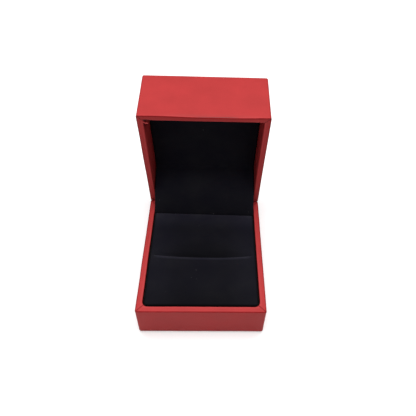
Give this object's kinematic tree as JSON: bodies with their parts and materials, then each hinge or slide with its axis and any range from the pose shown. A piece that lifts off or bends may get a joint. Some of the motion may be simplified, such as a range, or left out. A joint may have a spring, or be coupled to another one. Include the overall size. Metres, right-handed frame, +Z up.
{
  "type": "ring box",
  "caption": "Hinged ring presentation box with a leatherette covering, a velvet ring pad with a slot, a lined lid, and a snap hinge hidden by a velvet flap.",
  "frame": {"origin": "centre of the underside of the base", "axes": "+X to the right, +Y from the opening side to the hinge, +Z up"},
  "size_m": [0.06, 0.0938, 0.0902],
  "materials": {
    "red_leatherette": "satin",
    "black_velvet": "matte",
    "shell_plastic": "matte",
    "underside_paper": "matte",
    "card": "matte",
    "foam": "matte",
    "hinge_steel": "satin",
    "rivet_steel": "satin",
    "spring_steel": "polished"
  },
  "bodies": {
    "base": {"base_shell": "shell_plastic", "base_wrap": "red_leatherette", "base_underlay": "underside_paper", "pad_board": "card", "front_foam": "foam", "rear_foam": "foam", "pad_cover": "black_velvet", "hinge_base_leaf": "hinge_steel", "base_rivets": "rivet_steel", "hinge_pin": "hinge_steel", "hinge_spring": "spring_steel"},
    "lid": {"lid_shell": "shell_plastic", "lid_wrap": "red_leatherette", "lid_foam": "foam", "lid_board": "card", "lid_lining": "black_velvet", "hinge_lid_leaf": "hinge_steel", "lid_rivets": "rivet_steel", "hinge_flap": "black_velvet"}
  },
  "joints": [
    {"name": "lid_hinge", "type": "hinge", "parent": "base", "child": "lid", "pos_m": [0, 0.03345, 0.0201], "axis": [1, 0, 0], "range_deg": [0, 82], "deforming": ["hinge_spring", "hinge_flap"]}
  ]
}
